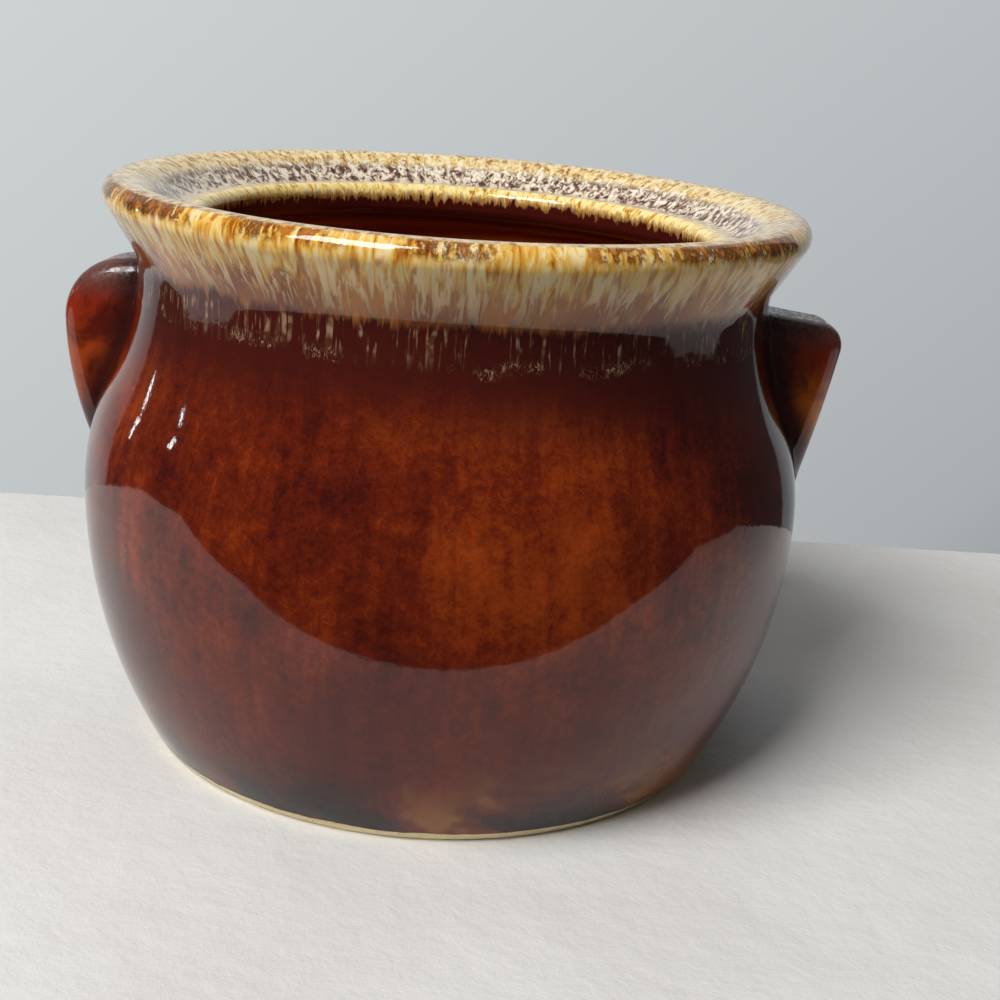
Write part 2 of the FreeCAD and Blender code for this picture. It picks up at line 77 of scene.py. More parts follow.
def sweep(centre, radius, first, last):
    """Points along an arc, between two angles in degrees."""
    count = max(4, int(abs(math.radians(last - first)) * radius / ARC_GAP))
    return polar(centre, radius, np.linspace(first, last, count))


def heading(origin, target):
    """The angle, in degrees, at which one point sees another."""
    return math.degrees(math.atan2(target[1] - origin[1], target[0] - origin[0]))


def glazed_profile():
    """The glaze's surface from the foot, up over the rim and down to the middle of the floor."""
    g = GLAZE
    # the outside, up to the neck
    lower = (BELLY_R - WALL_CURVE, BELLY_Z)
    shoulder = (BELLY_R - SHOULDER_CURVE, BELLY_Z)
    neck = (NECK_R + NECK_CURVE, NECK_Z)
    turn = heading(shoulder, neck)
    start = -math.degrees(math.asin((BELLY_Z - BARE_FOOT) / (WALL_CURVE + g)))
    chain = [sweep(lower, WALL_CURVE + g, start, 0),
             sweep(shoulder, SHOULDER_CURVE + g, 0, turn),
             sweep(neck, NECK_CURVE - g, 180 + turn, 180)]
    # the flare, the lip and the crown
    flare = (NECK_R + FLARE_R, NECK_Z)
    lip = (RIM_R - LIP_R, RIM_Z - LIP_R)
    gap = math.dist(flare, lip)
    facing = heading(flare, lip) - math.degrees(math.acos(-(FLARE_R + LIP_R) / gap))
    crown = (lip[0], RIM_Z - CROWN_R)
    chain += [sweep(flare, FLARE_R - g, 180, 180 + facing),
              sweep(lip, LIP_R + g, facing, 90),
              sweep(crown, CROWN_R + g, 90, 90 + GALLERY_SLOPE)]
    # down the slope to the gallery, and over its edge into the throat
    fillet = GALLERY_FILLET - g
    end = chain[-1][-1]
    rise = end[1] + fillet * math.cos(math.radians(GALLERY_SLOPE)) - (GALLERY_Z + g + fillet)
    slope_foot = end - np.array([1 / math.tan(math.radians(GALLERY_SLOPE)), 1]) * rise
    corner = polar(slope_foot, fillet, 90 + GALLERY_SLOPE)
    edge = (THROAT_R + THROAT_EDGE_R, GALLERY_Z - THROAT_EDGE_R)
    low = (THROAT_R + THROAT_LOW_R, THROAT_LOW_Z + THROAT_LOW_R)
    ledge_angle = 270 - LEDGE_SLOPE
    chain += [sweep(corner, fillet, GALLERY_SLOPE - 90, -90),
              sweep(edge, THROAT_EDGE_R + g, 90, 180),
              sweep(low, THROAT_LOW_R + g, 180, ledge_angle)]
    # along the flange's underside to a fillet that meets the neck's arc
    ledge = math.radians(LEDGE_SLOPE)
    along = np.array([math.cos(ledge), -math.sin(ledge)])
    fillet = LEDGE_FILLET - g
    inner_neck = NECK_CURVE + WALL + g
    line = polar(polar(low, THROAT_LOW_R + g, ledge_angle), fillet, ledge_angle)
    offset = line - np.array(neck)
    half = offset @ along
    run = -half - math.sqrt(half ** 2 - offset @ offset + (inner_neck + fillet) ** 2)
    corner = line + along * run
    end = heading(corner, neck)
    chain += [sweep(corner, fillet, 90 - LEDGE_SLOPE, end),
              sweep(neck, inner_neck, end + 180, 180 + turn),
              sweep(shoulder, SHOULDER_CURVE - WALL - g, turn, 0)]
    # the inside of the wall, its corner and the floor
    inner = WALL_CURVE - WALL - g
    corner_r = FLOOR_CORNER_R - g
    floor = FLOOR_Z + g
    drop = BELLY_Z - floor - corner_r
    corner = (lower[0] + math.sqrt((inner - corner_r) ** 2 - drop ** 2), floor + corner_r)
    end = heading(lower, corner)
    chain += [sweep(lower, inner, 0, end),
              sweep(corner, corner_r, end, -90),
              np.array([[0.0, floor]])]
    points = np.concatenate(chain)
    steps = np.linalg.norm(np.diff(points, axis=0), axis=1)
    points = points[np.concatenate([[True], steps > 1e-6])]
    filled = [points[:1]]
    for a, b in zip(points[:-1], points[1:]):
        count = max(1, int(np.linalg.norm(b - a) / LINE_GAP))
        filled.append(a + (b - a) * (np.arange(1, count + 1) / count)[:, None])
    return np.concatenate(filled)


PROFILE = glazed_profile()
LENGTHS = np.concatenate([[0], np.cumsum(np.linalg.norm(np.diff(PROFILE, axis=0), axis=1))])
CREST = int(np.argmax(PROFILE[:, 1]))
LENGTHS = LENGTHS - LENGTHS[CREST]      # 0 on the crest, negative outside, positive inside
tangent = np.gradient(PROFILE, axis=0)
tangent /= np.linalg.norm(tangent, axis=1)[:, None]
NORMALS = np.stack([tangent[:, 1], -tangent[:, 0]], -1)
# the rim's widest point, below which the outside has each height once
WIDEST = int(np.argmax(PROFILE[:CREST + 1, 0] * (PROFILE[:CREST + 1, 1] > NECK_Z)))


def at(s):
    """Radius and height on the profile, and the outward normal there."""
    point = [np.interp(s, LENGTHS, PROFILE[:, k]) for k in (0, 1)]
    normal = [np.interp(s, LENGTHS, NORMALS[:, k]) for k in (0, 1)]
    return point[0], point[1], normal[0], normal[1]


def outside_s(z):
    """Where on the outside of the profile a height is."""
    return np.interp(z, PROFILE[:WIDEST, 1], LENGTHS[:WIDEST])


def wall_radius(z):
    """The outside's radius at a height."""
    return np.interp(z, PROFILE[:WIDEST, 1], PROFILE[:WIDEST, 0])


def inside_s(z):
    """Where a height is in the throat."""
    part = (LENGTHS > 0) & (PROFILE[:, 1] > THROAT_LOW_Z) & (PROFILE[:, 0] < THROAT_R + 1)
    return np.interp(-z, -PROFILE[part, 1], LENGTHS[part])


FOOT_S, END_S = LENGTHS[0], LENGTHS[-1] - 0.5   # the mesh leaves the middle of the floor open
SPLIT_S = float(outside_s(96.0))                # where the rim's finer mesh starts
LINER_S = float(inside_s(119.3))                # where the liner's mesh starts
BEAD_S = float(inside_s(124.4)) - 1.9           # where the gallery's level land ends
THROAT_S = float(inside_s(121.6))               # where the ivory coat stops in the throat

# ---------------------------------------------------------------- noise and relief

# depths of the glaze's slow waves, of the brown under the ivory, of drips and of pebbling (mm)
WAVE_DEPTH, BROWN_DEPTH, STREAK_DEPTH, PEBBLE_DEPTH = 0.05, 0.06, 0.03, 0.02


def hashed(*keys):
    """Repeatable numbers from 0 to 1 for whole-number keys."""
    h = np.zeros(np.broadcast(*keys).shape, np.uint64)
    for k in keys:
        h = (h ^ (np.asarray(k).astype(np.int64).astype(np.uint64) + np.uint64(0x9E3779B9)))
        h = h * np.uint64(0xBF58476D1CE4E5B9)
        h = h ^ (h >> np.uint64(29))
    return (h >> np.uint64(40)).astype(float) / float(1 << 24)


def ring_noise(theta, s, cells, length, seed):
    """Smooth noise from -1 to 1 that closes round the pot: so many cells round it, of a length."""
    u = (theta / (2 * np.pi) % 1.0) * cells
    v = s / length + 1000.0
    iu, iv = np.floor(u), np.floor(v)
    fu, fv = u - iu, v - iv
    fu, fv = fu * fu * (3 - 2 * fu), fv * fv * (3 - 2 * fv)
    value = 0
    for du, wu in ((0, 1 - fu), (1, fu)):
        for dv, wv in ((0, 1 - fv), (1, fv)):
            value = value + wu * wv * hashed((iu + du) % cells, iv + dv, seed)
    return 2 * value - 1


def fade(x, low, high):
    """0 below low, 1 above high, smooth between."""
    t = np.clip((x - low) / (high - low), 0, 1)
    return t * t * (3 - 2 * t)


def relief(theta, s):
    """How far the surface lies under the pot's even glaze line, in mm: never outside it."""
    outside = s < 0
    z = at(s)[1]
    ivory = np.where(outside, fade(z, 98.0, 109.0), fade(s, inside_s(121.5), inside_s(122.6)))
    wave = 0.5 + 0.5 * ring_noise(theta, s, 17, 34, 41)
    streak = 0.5 + 0.5 * ring_noise(theta, s, 200, 11, 42)
    pebble = 0.5 + 0.5 * ring_noise(theta, s, 190, 2.6, 43)
    drips = ivory * (STREAK_DEPTH * streak + PEBBLE_DEPTH * pebble) * fade(np.abs(s), 1.5, 6.0)
    foot = np.where(outside, fade(z, 3.5, 1.8), 0)
    return (WAVE_DEPTH * wave + BROWN_DEPTH * (1 - ivory) + drips) * (1 - foot)


# ---------------------------------------------------------------- lugs

LUG_ROOT = 7.2                          # how far inside the neck's radius a lug starts
LUG_WIDTH, LUG_DRAFT, LUG_EDGE_R = 18.5, 3.0, 4.5
LUG_INSET = 0.05                        # how far its glaze lies under the even glaze line


class Lug:
    """A slab that stands out at a bearing, as the solid's sizes give it, glaze included."""

    def __init__(self, azimuth, drop, overhang, slope, corner, bow, tip_drop, tip_inset):
        self.azimuth = math.radians(azimuth)
        g = GLAZE - LUG_INSET
        root = NECK_R - LUG_ROOT
        self.top = NECK_Z - drop
        reach = BELLY_R + overhang
        length = self.top - BELLY_Z + tip_drop
        tip = BELLY_R - tip_inset
        tilt = math.radians(slope)
        centre_x = reach - corner
        depth = corner / math.cos(tilt) + (centre_x - root) * math.tan(tilt)
        lean = math.atan((reach - tip) / (length - depth))
        side = (1 - bow) * lean
        run = centre_x + corner * math.cos(side) - tip
        fall = length - depth - corner * math.sin(side)
        bulge = run * math.cos(side) - fall * math.sin(side)
        self.side_r = (run ** 2 + fall ** 2) / (2 * bulge) + g
        self.corner_r = corner + g
        self.centre = np.array([centre_x, self.top - depth])
        self.up = np.array([math.sin(tilt), math.cos(tilt)])
        self.out = np.array([math.cos(side), -math.sin(side)])
        self.side_centre = self.centre - self.out * (self.side_r - self.corner_r)
        self.half = LUG_WIDTH / 2 + g
        self.draft = math.tan(math.radians(LUG_DRAFT))
        self.round = LUG_EDGE_R + g

    def parts(self, x, y, z):
        """Signed distances to the lug's outline and to its cheeks, negative inside."""
        c, s = math.cos(self.azimuth), math.sin(self.azimuth)
        x, y = c * x + s * y, c * y - s * x
        px, pz = x - self.centre[0], z - self.centre[1]
        on_top = px * self.up[1] - pz * self.up[0] < 0
        on_side = px * self.out[1] - pz * self.out[0] > 0
        top = px * self.up[0] + pz * self.up[1] - self.corner_r
        corner = np.hypot(px, pz) - self.corner_r
        side = np.hypot(x - self.side_centre[0], z - self.side_centre[1]) - self.side_r
        outline = np.where(on_top, top, np.where(on_side, side, corner))
        return outline, np.abs(y) - (self.half - (self.top - z) * self.draft)

    def field(self, x, y, z):
        """Signed distance to the lug with its edges rounded, negative inside."""
        outline, cheek = self.parts(x, y, z)
        a, b = outline + self.round, cheek + self.round
        return (np.minimum(np.maximum(a, b), 0) - self.round
                + np.hypot(np.maximum(a, 0), np.maximum(b, 0)))


LUGS = {
    "right": Lug(2.0, drop=3.3, overhang=7.6, slope=7.4, corner=5.2, bow=0.3, tip_drop=7.9,
                 tip_inset=2.8),
    "left": Lug(172.5, drop=1.5, overhang=8.5, slope=6.8, corner=14.9, bow=0.94, tip_drop=4.0,
                tip_inset=1.3),
}
# the window round a lug, where its patch stands in for the wall's own mesh
WINDOW_HALF = math.radians(15.0)
WINDOW_LOW = {"right": 46.0, "left": 50.0}
WINDOW_TOP = 118.5
PATCH_BORDER, PATCH_DIP = 0.6, 0.05     # a patch's border, and how far it dips under the wall
PATCH_STEP = 0.5
BLEND = 2.6                             # how softly a lug runs into the wall
WALL_ENDS = (3.0, 128.0)                # heights between which the wall's outline is followed
# thick glaze and painted shade in the crease darken a lug's root: it fades over these distances along
# the wall and up the lug, and over these heights under the rim
POOL_AND_SHADE = {"right": ((4.0, 13.0), (-1.0, 3.0)), "left": ((11.0, 22.0), (2.0, 9.0))}
POOL_AND_SHADE_TOP = (108.0, 114.0)
THIN = {"right": 1.0, "left": 0.2}      # how amber a lug's edges are


def from_middle(theta, side):
    """Angle from the middle of a lug."""
    return np.abs((theta - LUGS[side].azimuth + np.pi) % (2 * np.pi) - np.pi)


def off_wall(x, y, z):
    """How far out from the wall a point is, measured level."""
    return np.hypot(x, y) - wall_radius(np.clip(z, *WALL_ENDS))


def pool_and_shade_at(x, y, z):
    """Where thick glaze and painted shade darken the root of a lug and the wall beside it: 1 there, 0
    elsewhere.
    """
    out = off_wall(x, y, z)
    pool_and_shade = 0
    for side, lug in LUGS.items():
        along_wall, up_lug = POOL_AND_SHADE[side]
        beside = np.maximum(fade(lug.field(x, y, z), *along_wall), fade(out, *up_lug))
        pool_and_shade = np.maximum(pool_and_shade, 1 - beside)
    return pool_and_shade * (1 - fade(z, *POOL_AND_SHADE_TOP))


def lug_nearness(theta, z):
    """1 over the lugs' windows, 0 well away from them, for fading the wall's relief."""
    near = 0
    for side in LUGS:
        here = 1 - fade(from_middle(theta, side), WINDOW_HALF, WINDOW_HALF + 0.12)
        here = here * fade(z, WINDOW_LOW[side] - 9, WINDOW_LOW[side])
        near = np.maximum(near, here * (1 - fade(z, WINDOW_TOP, WINDOW_TOP + 5)))
    return near


def skin_field(x, y, z, side):
    """Wall and lug run together, negative inside."""
    wall_z = np.clip(z, *WALL_ENDS)
    e = 0.25
    slope = (wall_radius(wall_z + e) - wall_radius(wall_z - e)) / (2 * e)
    wall = off_wall(x, y, z) / np.sqrt(1 + slope ** 2)
    lug = LUGS[side].field(x, y, z)
    h = np.clip(0.5 + 0.5 * (lug - wall) / BLEND, 0, 1)
    joined = lug + (wall - lug) * h - BLEND * h * (1 - h)
    away = from_middle(np.arctan2(y, x), side) * BELLY_R
    past_ends = np.maximum(WINDOW_LOW[side] + PATCH_BORDER - z, z - WINDOW_TOP + PATCH_BORDER)
    past = np.maximum(away - (WINDOW_HALF * BELLY_R - PATCH_BORDER), past_ends)
    return joined + PATCH_DIP * fade(past, 0, 1.0)


def surface_net(field, low, high, step):
    """A quad mesh of field = 0 inside a box, its corners then moved onto the surface."""
    axes = [np.arange(a, b + step, step) for a, b in zip(low, high)]
    grid = np.meshgrid(*axes, indexing="ij")
    value = field(*grid)
    inside = value < 0
    # a corner in each cell that the surface crosses: the mean of its edges' crossings
    shape = np.array(value.shape) - 1
    total = np.zeros((*shape, 3))
    count = np.zeros(shape)
    for axis in range(3):
        near = [slice(None)] * 3
        far = [slice(None)] * 3
        near[axis], far[axis] = slice(0, -1), slice(1, None)
        a, b = value[tuple(near)], value[tuple(far)]
        crossed = inside[tuple(near)] != inside[tuple(far)]
        with np.errstate(divide="ignore", invalid="ignore"):
            t = np.where(crossed, a / (a - b), 0)
        spot = np.stack([g[tuple(near)] for g in grid], -1)
        spot[..., axis] += t * step
        others = [k for k in range(3) if k != axis]
        for i in (0, 1):
            for j in (0, 1):
                cut = [slice(None)] * 3
                cut[others[0]] = slice(i, i + shape[others[0]])
                cut[others[1]] = slice(j, j + shape[others[1]])
                cut = tuple(cut)
                total += np.where(crossed[cut][..., None], spot[cut], 0)
                count += crossed[cut]
    active = count > 0
    number = np.full(shape, -1)
    number[active] = np.arange(active.sum())
    points = total[active] / count[active][:, None]
    # a quad round each edge that the surface crosses
    quads = []
    for axis in range(3):
        near = [slice(1, -1)] * 3
        far = [slice(1, -1)] * 3
        near[axis], far[axis] = slice(0, -1), slice(1, None)
        a, b = inside[tuple(near)], inside[tuple(far)]
        others = [k for k in range(3) if k != axis]
        cells = []
        for i, j in ((0, 0), (1, 0), (1, 1), (0, 1)):
            cut = [slice(None)] * 3
            cut[others[0]] = slice(i, i + shape[others[0]] - 1)
            cut[others[1]] = slice(j, j + shape[others[1]] - 1)
            cells.append(number[tuple(cut)])
        cells = np.stack(cells, -1)
        flip = axis == 1
        for sign in (False, True):
            chosen = cells[(a != b) & (a != sign)]
            quads.append(chosen[:, ::-1] if sign != flip else chosen)
    quads = np.concatenate(quads)
    quads = quads[(quads >= 0).all(1)]
    # the corners, moved along the field's gradient
    e = 0.05
    for _ in range(3):
        x, y, z = points.T
        gradient = np.stack([field(x + e, y, z) - field(x - e, y, z),
                             field(x, y + e, z) - field(x, y - e, z),
                             field(x, y, z + e) - field(x, y, z - e)], -1) / (2 * e)
        share = field(x, y, z) / (gradient ** 2).sum(1).clip(0.2)
        points = points - gradient * share[:, None]
    return points, quads


# ---------------------------------------------------------------- meshes

RIM_COLUMNS, BODY_COLUMNS, LINER_COLUMNS = 840, 720, 600
RIM_GAP, LIP_GAP, BODY_GAP, LINER_GAP = 0.65, 0.45, 1.0, 1.3    # between rows (mm)
LIP_START, LIP_END = -9.0, 4.0          # along the profile, from the crest
PLACE_R = 80.0                          # the radius at which the glaze's own space is rolled up


def new_object(name, points, faces, attributes=None, smooth=True):
    """A mesh object from points in mm, with per-point values."""
    mesh = bpy.data.meshes.new(name)
    faces = np.asarray(faces)
    mesh.vertices.add(len(points))
    mesh.vertices.foreach_set("co", (np.asarray(points) * MM).astype(np.float32).ravel())
    mesh.loops.add(faces.size)
    mesh.loops.foreach_set("vertex_index", faces.astype(np.int32).ravel())
    mesh.polygons.add(len(faces))
    mesh.polygons.foreach_set("loop_start", np.arange(0, faces.size, faces.shape[1], dtype=np.int32))
    mesh.update(calc_edges=True)
    for key, values in (attributes or {}).items():
        kind = "FLOAT" if values.ndim == 1 else "FLOAT_VECTOR"
        attribute = mesh.attributes.new(key, kind, "POINT")
        field = "value" if values.ndim == 1 else "vector"
        attribute.data.foreach_set(field, values.astype(np.float32).ravel())
    if smooth:
        mesh.shade_smooth()
    else:
        mesh.shade_flat()
    mesh.validate()
    obj = bpy.data.objects.new(name, mesh)
    bpy.context.scene.collection.objects.link(obj)
    return obj


def glaze_attributes(theta, s, pool_and_shade, lug=0.0, thin=0.0):
    """What the glaze's material reads: the place, and how much is lug, thin edge, and dark pool with
    painted shade.
    """
    place = np.stack([PLACE_R * np.cos(theta), PLACE_R * np.sin(theta), s], -1) * MM
    none = np.zeros(theta.shape)
    return {"place": place, "lug": none + lug, "thin": none + thin, "pool_and_shade": none + pool_and_shade}


def revolve(name, rows, columns, cut_windows=True, waver=None):
    """Part of the profile turned about the axis, in relief, with the lugs' windows left out."""
    theta = np.linspace(-np.pi, np.pi, columns, endpoint=False) + np.pi / columns
    t, s = np.meshgrid(theta, rows)
    if waver is not None:
        s = waver(t, s)
    r, z, nr, nz = at(s)
    sunk = relief(t, s)
    if cut_windows:
        sunk = sunk * (1 - np.where(s < 0, lug_nearness(t, z), 0))
    r, z = r - nr * sunk, z - nz * sunk
    points = np.stack([r * np.cos(t), r * np.sin(t), z], -1)
    index = np.arange(t.size).reshape(t.shape)
    beside = np.roll(index, -1, axis=1)
    faces = np.stack([index[:-1], beside[:-1], beside[1:], index[1:]], -1).reshape(-1, 4)
    if cut_windows:
        hole = np.zeros(t.shape, bool)
        for side in LUGS:
            hole |= ((s < 0) & (from_middle(t, side) < WINDOW_HALF)
                     & (z > WINDOW_LOW[side]) & (z < WINDOW_TOP))
        faces = faces[~hole.ravel()[faces].all(1)]
    used = np.unique(faces)
    renumber = np.zeros(t.size, int)
    renumber[used] = np.arange(len(used))
    values = glaze_attributes(t, s, np.where(s < 0, pool_and_shade_at(*np.moveaxis(points, -1, 0)), 0))
    values = {k: v.reshape(t.size, *v.shape[2:])[used] for k, v in values.items()}
    return new_object(name, points.reshape(-1, 3)[used], renumber[faces], values)


def spaced(first, last, gap):
    """Numbers from first to last, about a gap apart."""
    return np.linspace(first, last, max(3, int(round(abs(last - first) / gap)) + 1))


def glaze_foot_line(t, s):
    """The coat's lower edge wavers a little over the bare clay."""
    lift = 0.55 + 0.2 * ring_noise(t, 0, 60, 1, 51) + 0.12 * ring_noise(t, 0, 170, 1, 52)
    return s + lift * (1 - fade(s, FOOT_S, FOOT_S + 6))


def lug_patch(side):
    """A lug and the wall round it as one soft surface."""
    half = BELLY_R * math.sin(WINDOW_HALF) + 1.6
    c, s = math.cos(LUGS[side].azimuth), math.sin(LUGS[side].azimuth)

    def turned_field(a, b, h):
        """The skin, in axes whose first one points along the lug."""
        return skin_field(c * a - s * b, c * b + s * a, h, side)

    points, faces = surface_net(turned_field, (62.0, -half, WINDOW_LOW[side] - 1.5),
                                (98.0, half, WINDOW_TOP + 1.5), PATCH_STEP)
    points[:, 0], points[:, 1] = (c * points[:, 0] - s * points[:, 1],
                                  c * points[:, 1] + s * points[:, 0])
    x, y, z = points.T
    out = off_wall(x, y, z)
    outline, cheek = LUGS[side].parts(x, y, z)
    thin = fade(np.maximum(outline, cheek * 0.6), -8.0, -1.0) * fade(out, 1.5, 5.0)
    values = glaze_attributes(np.arctan2(y, x), outside_s(z), pool_and_shade_at(x, y, z),
                              lug=fade(out, 0.3, 1.6), thin=thin * THIN[side])
    return new_object(side + "_lug_glaze", points, faces, values)


rim_rows = np.concatenate([spaced(SPLIT_S, LIP_START, RIM_GAP)[:-1],
                           spaced(LIP_START, LIP_END, LIP_GAP)[:-1],
                           spaced(LIP_END, LINER_S, RIM_GAP)])
body_skin = revolve("wall_glaze", spaced(FOOT_S, SPLIT_S, BODY_GAP), BODY_COLUMNS,
                    waver=glaze_foot_line)
rim_skin = revolve("rim_glaze", rim_rows, RIM_COLUMNS)
liner_skin = revolve("liner_glaze", spaced(LINER_S, END_S, LINER_GAP), LINER_COLUMNS,
                     cut_windows=False)
patches = [lug_patch(side) for side in LUGS]

# ---------------------------------------------------------------- materials


def srgb(r, g, b):
    """A colour written as 0 to 255, as Blender's linear values."""
    return tuple((v / 12.92 if v <= 0.04045 else ((v + 0.055) / 1.055) ** 2.4)
                 for v in (c / 255 for c in (r, g, b))) + (1.0,)


class Graph:
    """Small helpers for a material's nodes. Each returns a socket, or a node's sockets."""

    def __init__(self, name):
        self.material = bpy.data.materials.new(name)
        self.material.use_nodes = True
        self.tree = self.material.node_tree
        self.tree.nodes.clear()
        self.out = self.add("ShaderNodeOutputMaterial")
        self.where = self.add("ShaderNodeTexCoord").outputs["Object"]

    def add(self, kind, **settings):
        """A new node itself."""
        node = self.tree.nodes.new(kind)
        for key, value in settings.items():
            setattr(node, key, value)
        return node

    def link(self, source, target):
        self.tree.links.new(source, target)

    def feed(self, socket, value):
        """Link a socket or set its value. None leaves it alone."""
        if isinstance(value, bpy.types.NodeSocket):
            self.link(value, socket)
        elif value is not None:
            socket.default_value = value

    def shader(self, **inputs):
        """The Principled shader, on the material's surface."""
        node = self.add("ShaderNodeBsdfPrincipled")
        for key, value in inputs.items():
            self.feed(node.inputs[key.replace("_", " ")], value)
        self.link(node.outputs[0], self.out.inputs["Surface"])
        return node.outputs[0]

    def attribute(self, name, field="Fac"):
        return self.add("ShaderNodeAttribute", attribute_name=name).outputs[field]

    def split(self, vector):
        node = self.add("ShaderNodeSeparateXYZ")
        self.link(vector, node.inputs[0])
        return node.outputs

    def math(self, operation, a, b=None, c=None, clamp=False):
        node = self.add("ShaderNodeMath", operation=operation, use_clamp=clamp)
        for socket, value in zip(node.inputs, (a, b, c)):
            self.feed(socket, value)
        return node.outputs[0]

    def times(self, a, b):
        return self.math("MULTIPLY", a, b)

    def uneven(self, value, noise, amount):
        """A value moved to and fro by a noise that lies round 0.5."""
        return self.math("MULTIPLY_ADD", self.math("SUBTRACT", noise, 0.5), amount, value)

    def stretch(self, vector, scale, shift):
        node = self.add("ShaderNodeMapping")
        self.link(vector, node.inputs["Vector"])
        node.inputs["Scale"].default_value = scale
        node.inputs["Location"].default_value = shift
        return node.outputs[0]

    def noise(self, vector, scale, detail=2.0, rough=0.5, twist=0.0):
        node = self.add("ShaderNodeTexNoise")
        self.link(vector, node.inputs["Vector"])
        node.inputs["Scale"].default_value = scale
        node.inputs["Detail"].default_value = detail
        node.inputs["Roughness"].default_value = rough
        node.inputs["Distortion"].default_value = twist
        return node.outputs["Fac"]

    def ramp(self, value, *stops, smooth=True):
        """A colour between the stops, each a position and a colour."""
        node = self.add("ShaderNodeValToRGB")
        node.color_ramp.interpolation = "EASE" if smooth else "LINEAR"
        elements = node.color_ramp.elements
        while len(elements) < len(stops):
            elements.new(0.5)
        for element, (position, colour) in zip(elements, stops):
            element.position = position
            element.color = colour
        self.feed(node.inputs[0], value)
        return node.outputs[0]

    def step(self, value, low, high):
        """0 below low and 1 above high, or the other way round when low is above high."""
        node = self.add("ShaderNodeMapRange", interpolation_type="SMOOTHSTEP")
        self.feed(node.inputs["Value"], value)
        node.inputs["From Min"].default_value = min(low, high)
        node.inputs["From Max"].default_value = max(low, high)
        node.inputs["To Min"].default_value = 0.0 if low < high else 1.0
        node.inputs["To Max"].default_value = 1.0 if low < high else 0.0
        return node.outputs[0]

    def band(self, value, low, rise, fall, high):
        """1 from rise to fall, 0 below low and above high."""
        return self.times(self.step(value, low, rise), self.step(value, high, fall))

    def mix(self, share, a, b):
        """Colour a, or b where the share is 1."""
        node = self.add("ShaderNodeMix", data_type="RGBA")
        self.feed(node.inputs["Factor"], share)
        self.feed(node.inputs[6], a)
        self.feed(node.inputs[7], b)
        return node.outputs[2]

    def bump(self, height, strength, distance):
        node = self.add("ShaderNodeBump")
        node.inputs["Strength"].default_value = strength
        node.inputs["Distance"].default_value = distance
        self.link(height, node.inputs["Height"])
        return node.outputs[0]


